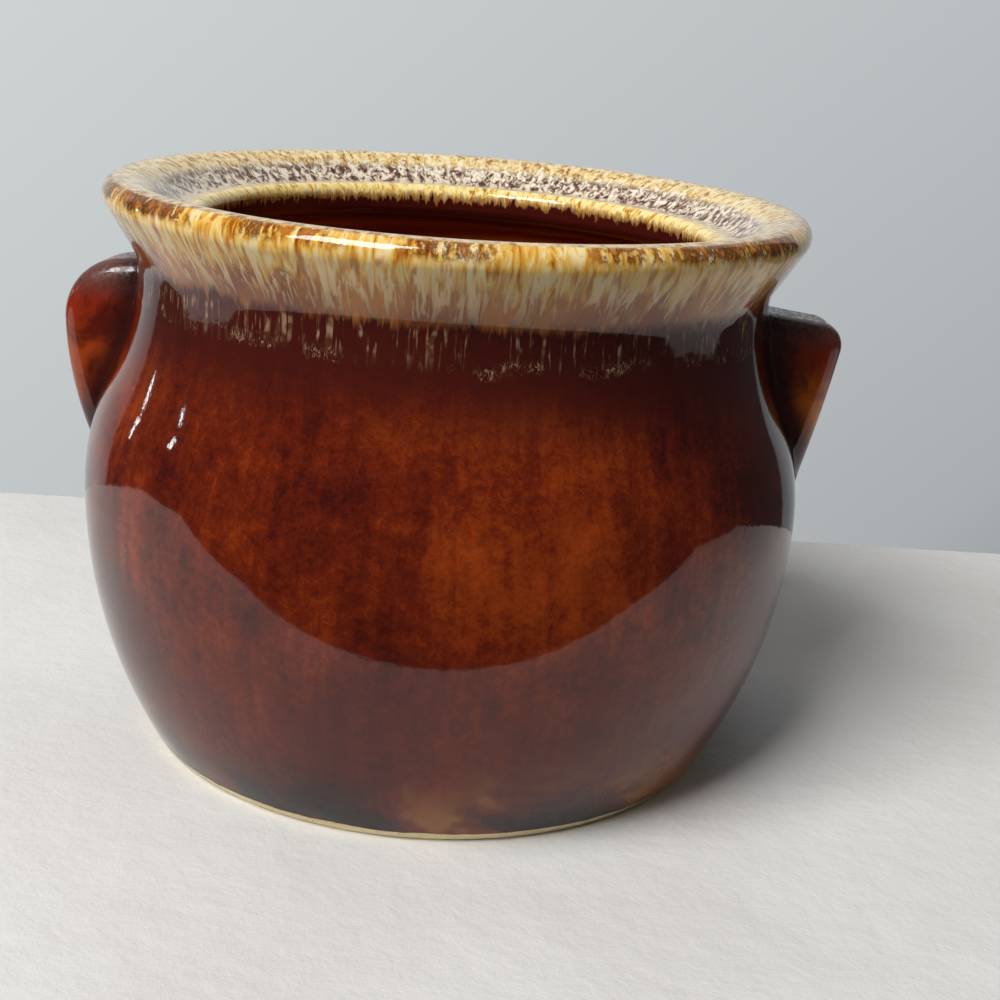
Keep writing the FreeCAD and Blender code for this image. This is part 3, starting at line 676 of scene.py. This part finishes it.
class Glaze(Graph):
    """The pot's glaze, from the place on the pot that its meshes carry."""

    def __init__(self, name):
        super().__init__(name)
        self.place = self.attribute("place", "Vector")
        place = self.split(self.place)
        self.spot = self.split(self.where)
        self.s = self.times(place["Z"], 1000.0)             # mm from the crest, more inside
        self.down = self.times(self.s, -1.0)                # and down the outside
        self.z = self.times(self.spot["Z"], 1000.0)         # height in mm
        turn = self.math("ARCTAN2", place["Y"], place["X"])
        self.turns = self.math("DIVIDE", turn, 2 * math.pi)
        flat = self.add("ShaderNodeCombineXYZ")
        self.link(place["X"], flat.inputs[0])
        self.link(place["Y"], flat.inputs[1])
        self.ring = flat.outputs[0]                         # the place, without its height

    def streaks(self, scale, length, detail=3.0, rough=0.55, twist=0.4, shift=0.0):
        """Noise drawn out along the profile: scale across, length as a multiple of the width."""
        drawn = self.stretch(self.place, (1, 1, 1 / length), (shift, 0, shift))
        return self.noise(drawn, scale, detail, rough, twist)

    def lace(self, depth):
        """Short runs and curls where the ivory coat ends, round depth 0 (mm, downwards)."""
        foam = self.streaks(760, 1.8, 2, 0.5, 1.0, 0.7)
        curl = self.step(self.math("ABSOLUTE", self.math("SUBTRACT", foam, 0.5)), 0.026, 0.008)
        beads = self.step(self.streaks(900, 2.2, 1, 0.5, 0.3, 0.2), 0.60, 0.68)
        hair = self.streaks(760, 8.0, 2, 0.5, 0.8, 0.15)
        clump = self.noise(self.ring, 95, 3, 0.6)
        edge = self.times(self.band(depth, -3.0, -1.0, 0.0, 0.8), self.step(clump, 0.44, 0.56))
        curl = self.times(self.math("MAXIMUM", curl, beads), edge)
        runs = self.times(self.step(hair, 0.54, 0.64), self.step(depth, 1.0, -5.0))
        return self.math("MAXIMUM", curl, self.times(runs, 0.7))

    def brown(self):
        """Red-brown glaze: amber where it is thin, near black where it is thick."""
        broad = self.noise(self.where, 15, 3, 0.5, 0.5)
        patches = self.noise(self.where, 60, 4, 0.6, 0.5)
        runs = self.streaks(240, 9.0)
        fine = self.noise(self.where, 420, 4, 0.65, 0.4)
        grain = self.noise(self.where, 1500, 3, 0.7)
        blend = self.times(patches, 0.20)
        for noise, share in ((broad, 0.36), (runs, 0.14), (fine, 0.18), (grain, 0.12)):
            blend = self.math("MULTIPLY_ADD", noise, share, blend)
        # more amber on the belly's upper half towards the front-left, the side the key lamp lights:
        # painted light
        front = self.math("MULTIPLY_ADD", self.spot["X"], 0.8, self.spot["Y"])
        front = self.times(self.step(front, -0.01, -0.08), self.band(self.z, 30.0, 75.0, 92.0, 108.0))
        blend = self.math("MULTIPLY_ADD", front, 0.035, blend)
        colour = self.ramp(blend, (0.39, srgb(42, 10, 8)), (0.46, srgb(70, 17, 9)),
                           (0.53, srgb(102, 31, 10)), (0.63, srgb(150, 60, 15)), smooth=False)
        # the belly's lower half is an even, duller brown
        dull = self.times(self.step(self.z, 60.0, 26.0), 0.55)
        colour = self.mix(dull, colour, srgb(88, 31, 22))
        # near the foot the coat is thick and blue-black in places, and thin and golden in others
        foot = self.step(self.uneven(self.z, patches, 30.0), 26.0, 2.0)
        thick = self.noise(self.where, 26, 3, 0.6, 0.6)
        colour = self.mix(self.times(foot, self.step(thick, 0.50, 0.62)), colour, srgb(140, 88, 42))
        colour = self.mix(self.times(foot, self.step(thick, 0.53, 0.42)), colour, srgb(24, 13, 18))
        # darker brown just under the collar
        under = self.step(self.uneven(self.z, patches, 18.0), 86.0, 106.0)
        return self.mix(self.times(under, 0.9), colour, srgb(66, 20, 15))

    def collar(self, brown):
        """The ivory coat outside: rust and gold under the lip, then fur on brown, then drips."""
        down = self.down
        hair = self.streaks(520, 6.0, 3, 0.6, 0.9)
        fur = self.streaks(380, 4.5, 3, 0.6, 1.0, 0.3)
        broad = self.streaks(70, 2.0, 2, 0.5, 0.3, 0.6)
        blobs = self.streaks(440, 1.8, 4, 0.7, 0.1, 0.9)
        colour = self.mix(self.step(broad, 0.35, 0.65), srgb(150, 80, 34), srgb(206, 134, 70))
        colour = self.mix(self.times(self.step(hair, 0.51, 0.60), 0.8), colour, srgb(242, 212, 160))
        colour = self.mix(self.times(self.step(fur, 0.53, 0.63), self.step(down, 20.0, 12.0)),
                          colour, srgb(246, 218, 160))
        lowest = self.step(self.uneven(down, hair, 12.0), 16.0, 22.0)
        colour = self.mix(self.times(lowest, 0.45), colour, srgb(112, 58, 36))
        # gold under the lip, with painted light making it brighter below its first few millimetres,
        # where the lip turns under
        gold = self.ramp(fur, (0.33, srgb(158, 90, 20)), (0.41, srgb(218, 156, 54)),
                         (0.50, srgb(236, 192, 98)), (0.60, srgb(246, 222, 166)))
        lit_underside_gold = self.ramp(hair, (0.38, srgb(176, 100, 30)), (0.46, srgb(240, 174, 66)),
                           (0.53, srgb(255, 216, 122)), (0.62, srgb(255, 240, 190)))
        gold = self.mix(self.times(self.step(down, 4.5, 8.0), 0.75), gold, lit_underside_gold)
        colour = self.mix(self.step(self.uneven(down, fur, 24.0), 15.5, 9.5), colour, gold)
        # rust shows through most on the left, and in one more place on the right of the front
        left = self.times(self.step(self.turns, -0.33, -0.38), 0.11)
        right_front = self.band(self.turns, -0.13, -0.11, -0.08, -0.06)
        place = self.math("ADD", self.noise(self.ring, 40, 2, 0.5), left)
        place = self.math("MULTIPLY_ADD", right_front, 0.07, place)
        patchy = self.math("MULTIPLY_ADD", place, 0.5, self.times(blobs, 0.5))
        rust = self.times(self.step(patchy, 0.48, 0.55),
                          self.band(self.uneven(down, blobs, 5.0), 0.6, 1.6, 4.8, 6.4))
        colour = self.mix(self.times(rust, 0.92), colour,
                          self.ramp(blobs, (0.44, srgb(64, 22, 10)), (0.54, srgb(116, 48, 16)),
                                    (0.62, srgb(184, 112, 38))))
        crest = self.ramp(blobs, (0.38, srgb(150, 108, 64)), (0.5, srgb(208, 180, 132)),
                          (0.6, srgb(226, 206, 168)))
        colour = self.mix(self.step(down, 1.9, 0.8), colour, crest)
        # the fur thins out at the neck, and only its drips run on over the brown
        return self.mix(self.step(self.uneven(down, hair, 9.0), 23.0, 20.0), brown, colour)

    def crown(self, brown):
        """The ivory coat inside: speckled gold, a flecked mauve hollow, and a yellow bead."""
        s = self.s
        specks = self.streaks(620, 1.7, 3, 0.65, 0.7)
        flecks = self.streaks(560, 1.2, 3, 0.65, 0.7, 0.4)
        fur = self.streaks(520, 3.0, 3, 0.6, 0.6, 0.8)
        gold = self.ramp(specks, (0.36, srgb(150, 102, 52)), (0.43, srgb(206, 164, 92)),
                         (0.50, srgb(234, 206, 140)), (0.62, srgb(246, 230, 188)))
        hollow = self.ramp(flecks, (0.40, srgb(86, 56, 50)), (0.46, srgb(144, 116, 104)),
                           (0.52, srgb(208, 190, 166)), (0.60, srgb(242, 232, 212)))
        bead = self.ramp(self.math("MULTIPLY_ADD", specks, 0.5, self.times(fur, 0.5)),
                         (0.38, srgb(166, 104, 38)), (0.43, srgb(222, 176, 84)),
                         (0.50, srgb(252, 224, 142)), (0.60, srgb(255, 240, 184)))
        wobble = self.uneven(s, flecks, 9.0)
        colour = self.mix(self.step(wobble, 6.5, 9.0), gold, hollow)
        colour = self.mix(self.step(wobble, BEAD_S - 5.0, BEAD_S - 2.5), colour,
                          srgb(226, 208, 172))
        colour = self.mix(self.step(self.uneven(s, fur, 4.0), BEAD_S - 1.6, BEAD_S + 0.2), colour,
                          bead)
        runs = self.uneven(s, fur, 8.0)
        rust = self.times(self.step(runs, THROAT_S - 2.2, THROAT_S - 0.8), 0.7)
        colour = self.mix(rust, colour, srgb(150, 84, 30))
        # the liner is painted brighter and more orange than the brown: painted light inside the
        # shaded pot
        liner = self.mix(0.6, brown, srgb(196, 88, 32))
        brown = self.mix(self.step(s, THROAT_S + 6.0, THROAT_S + 14.0), brown, liner)
        return self.mix(self.step(runs, THROAT_S - 0.6, THROAT_S + 0.4), colour, brown)


def glaze_material(name):
    """Brown glaze all over, with the ivory coat round the rim."""
    g = Glaze(name)
    # the lugs are redder than the wall, with a painted mauve-grey reflection on top, and amber where
    # the coat is thin
    lug = g.attribute("lug")
    patches = g.noise(g.where, 110, 4, 0.6, 0.5)
    face_and_top_sheen = g.mix(g.step(patches, 0.38, 0.60), srgb(82, 20, 12), srgb(136, 40, 17))
    # painted reflection: the lugs' tops turn mauve-grey
    face_and_top_sheen = g.mix(g.step(g.z, 98.0, 107.0), face_and_top_sheen, srgb(100, 66, 60))
    amber = g.mix(g.step(patches, 0.35, 0.65), srgb(140, 56, 14), srgb(208, 110, 28))
    thin = g.times(g.attribute("thin"), g.step(g.z, 99.0, 86.0))
    brown = g.mix(g.times(lug, thin), g.mix(lug, g.brown(), face_and_top_sheen), amber)

    # the ivory coat stays off the lugs and ends outside in lace
    ivory = g.mix(g.step(g.s, 0.2, 1.2), g.collar(brown), g.crown(brown))
    line = g.math("MULTIPLY_ADD", g.noise(g.ring, 60, 3, 0.6), 8.0, 101.5)
    lace = g.times(g.lace(g.math("SUBTRACT", line, g.z)), g.step(g.z, 115.0, 112.0))
    lace = g.times(lace, g.step(g.s, 0.0, -1.0))
    shine = g.mix(g.step(g.noise(g.where, 500, 2), 0.40, 0.66), srgb(112, 74, 48),
                  srgb(210, 180, 140))
    ivory = g.mix(g.times(lace, 0.6), ivory, shine)
    colour = g.mix(lug, ivory, brown)
    # thick glaze and painted shade darken the lugs' roots and the wall beside them
    colour = g.mix(g.times(g.attribute("pool_and_shade"), 0.88), colour, srgb(38, 14, 13))

    height = g.math("MULTIPLY_ADD", g.noise(g.where, 850, 2, 0.5), 0.7,
                    g.times(g.streaks(420, 4.0, 2), 0.3))
    # the lugs' tops are finely pitted
    top = g.times(lug, g.step(g.z, 98.0, 106.0))
    pits = g.step(g.noise(g.where, 900, 2, 0.6), 0.40, 0.55)
    rough = g.math("MULTIPLY_ADD", g.times(top, pits), 0.35, 0.05)
    g.shader(Base_Color=colour, Roughness=rough, IOR=1.5, Normal=g.bump(height, 0.05, 0.0004))
    return g.material


def clay_material():
    """Pale bare stoneware with darker grains."""
    g = Graph("bare_stoneware")
    grain = g.noise(g.where, 900, 4, 0.7)
    patch = g.noise(g.where, 60, 3, 0.5)
    colour = g.mix(g.step(patch, 0.35, 0.65), srgb(236, 216, 170), srgb(244, 228, 186))
    colour = g.mix(g.step(grain, 0.62, 0.7), colour, srgb(168, 136, 96))
    g.shader(Base_Color=colour, Roughness=0.8, Normal=g.bump(grain, 0.4, 0.0003))
    return g.material


def plaster_material():
    """The table's white, faintly uneven top."""
    g = Graph("table_top")
    coarse = g.noise(g.where, 16, 4, 0.55, 0.4)
    fine = g.noise(g.where, 110, 5, 0.65)
    colour = g.mix(g.step(coarse, 0.3, 0.7), srgb(222, 220, 216), srgb(229, 228, 225))
    height = g.math("ADD", g.times(coarse, 0.5), g.times(fine, 0.6))
    g.shader(Base_Color=colour, Roughness=0.75, Normal=g.bump(height, 0.55, 0.002))
    return g.material


def wall_material():
    """Pale wall paint, which camera, glossy and transmitted rays see as softly shaded light."""
    g = Graph("wall_paint")
    paint = g.shader(Base_Color=srgb(214, 219, 222), Roughness=0.9)
    spot = g.split(g.where)
    slant = g.math("SUBTRACT", spot["X"], g.times(spot["Z"], 1.1))
    glow = g.add("ShaderNodeEmission")
    shade = g.ramp(g.math("MULTIPLY_ADD", slant, 0.4, 0.6),
                   (0.05, srgb(150, 152, 156)), (0.35, srgb(208, 213, 214)),
                   (0.88, srgb(170, 174, 177)), (1.0, srgb(140, 142, 146)), smooth=False)
    g.link(shade, glow.inputs["Color"])
    glow.inputs["Strength"].default_value = 1.0
    rays = g.add("ShaderNodeLightPath").outputs
    seen = g.math("ADD", rays["Is Camera Ray"], rays["Is Glossy Ray"])
    seen = g.math("ADD", seen, rays["Is Transmission Ray"], clamp=True)
    mix = g.add("ShaderNodeMixShader")
    g.link(seen, mix.inputs[0])
    g.link(paint, mix.inputs[1])
    g.link(glow.outputs[0], mix.inputs[2])
    g.link(mix.outputs[0], g.out.inputs["Surface"])
    return g.material


outer_glaze = glaze_material("drip_and_brown_glaze")
clay = clay_material()
for obj in (body_skin, rim_skin, liner_skin, *patches):
    obj.data.materials.append(outer_glaze)
for name in ("stoneware_body", "left_lug", "right_lug"):
    nodes[name].data.materials.clear()
    nodes[name].data.materials.append(clay)

for obj, replaced, slot in ((body_skin, "brown_outer_glaze", "brown_glaze"),
                            (rim_skin, "ivory_rim_glaze", "ivory_glaze"),
                            (liner_skin, "brown_inner_glaze", "liner_glaze")):
    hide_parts(replaced)
    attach(obj, "root")
for obj in patches:
    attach(obj, "root")

# ---------------------------------------------------------------- table and backdrop (mm)

TABLE_FRONT, TABLE_BACK, TABLE_HALF, TABLE_THICK = -150.0, 150.0, 900.0, 30.0
WALL_Y, WALL_THICK, WALL_LOW, WALL_HIGH = 950.0, 20.0, -1500.0, 2600.0
WALL_LEFT, WALL_RIGHT = -1370.0, 1000.0     # past its ends the room is dark


def slab(name, low, high, material):
    """A block between two opposite corners."""
    x0, y0, z0 = low
    x1, y1, z1 = high
    points = [(x, y, z) for z in (z0, z1) for y in (y0, y1) for x in (x0, x1)]
    faces = [(0, 2, 3, 1), (4, 5, 7, 6), (0, 1, 5, 4), (2, 6, 7, 3), (0, 4, 6, 2), (1, 3, 7, 5)]
    obj = new_object(name, np.array(points, float), np.array(faces), smooth=False)
    obj.data.materials.append(material)
    return obj


table = slab("table_top", (-TABLE_HALF, TABLE_FRONT, -TABLE_THICK), (TABLE_HALF, TABLE_BACK, 0.0),
             plaster_material())
backdrop = slab("backdrop", (WALL_LEFT, WALL_Y, WALL_LOW),
                (WALL_RIGHT, WALL_Y + WALL_THICK, WALL_HIGH), wall_material())

# ---------------------------------------------------------------- light

LAMP_AIM = Vector((0, 0, 0.08))


def softbox(name, azimuth, elevation, distance, width, height, power):
    """A rectangular lamp aimed at the pot, at a bearing from +X and a height above the table."""
    a, e = math.radians(azimuth), math.radians(elevation)
    spot = LAMP_AIM + distance * MM * Vector((math.cos(a) * math.cos(e),
                                              math.sin(a) * math.cos(e), math.sin(e)))
    lamp = bpy.data.lights.new(name, "AREA")
    lamp.shape = "RECTANGLE"
    lamp.size, lamp.size_y = width * MM, height * MM
    lamp.energy = power
    obj = bpy.data.objects.new(name, lamp)
    obj.location = spot
    obj.rotation_euler = (LAMP_AIM - spot).to_track_quat("-Z", "Y").to_euler()
    bpy.context.scene.collection.objects.link(obj)


softbox("key", azimuth=-131, elevation=48, distance=2000, width=1000, height=950, power=46)
softbox("ceiling", azimuth=-120, elevation=80, distance=2400, width=2400, height=1800, power=3)
# two narrow panels far to the left, for the thin highlights down the left of the body
softbox("strip_high", azimuth=156.5, elevation=5, distance=1000, width=7, height=90, power=0.05)
softbox("strip_low", azimuth=176.5, elevation=12.5, distance=1000, width=9, height=60, power=0.05)

world = bpy.data.worlds.new("room")
world.use_nodes = True
light = world.node_tree.nodes["Background"]
light.inputs["Color"].default_value = (0.055, 0.05, 0.05, 1)
light.inputs["Strength"].default_value = 1.0
bpy.context.scene.world = world

# ---------------------------------------------------------------- camera

AIM = Vector((0, 0, 0.057))
DISTANCE, PITCH, YAW, TILT, ROLL = 0.3965, 17.62, 2.07, -0.09, 3.56
SENSOR, FOCAL = 36.0, 1.6               # width in mm, and the focal length as a share of it


def turned(a, b, degrees):
    """Two perpendicular directions turned towards each other."""
    c, s = math.cos(math.radians(degrees)), math.sin(math.radians(degrees))
    return c * a - s * b, s * a + c * b


pitch = math.radians(PITCH)
right = Vector((1, 0, 0))
forward = Vector((0, math.cos(pitch), -math.sin(pitch)))
up = Vector((0, math.sin(pitch), math.cos(pitch)))
position = AIM - DISTANCE * forward
right, forward = turned(right, forward, YAW)
up, forward = turned(up, forward, TILT)
up, right = turned(up, right, ROLL)
camera_data = bpy.data.cameras.new("camera")
camera_data.sensor_width = SENSOR
camera_data.lens = SENSOR * FOCAL
camera_data.clip_start = 0.01
camera = bpy.data.objects.new("camera", camera_data)
camera.matrix_world = Matrix((right, up, -forward)).transposed().to_4x4()
camera.location = position
bpy.context.scene.collection.objects.link(camera)
bpy.context.scene.camera = camera
bpy.context.scene.view_settings.view_transform = "Standard"
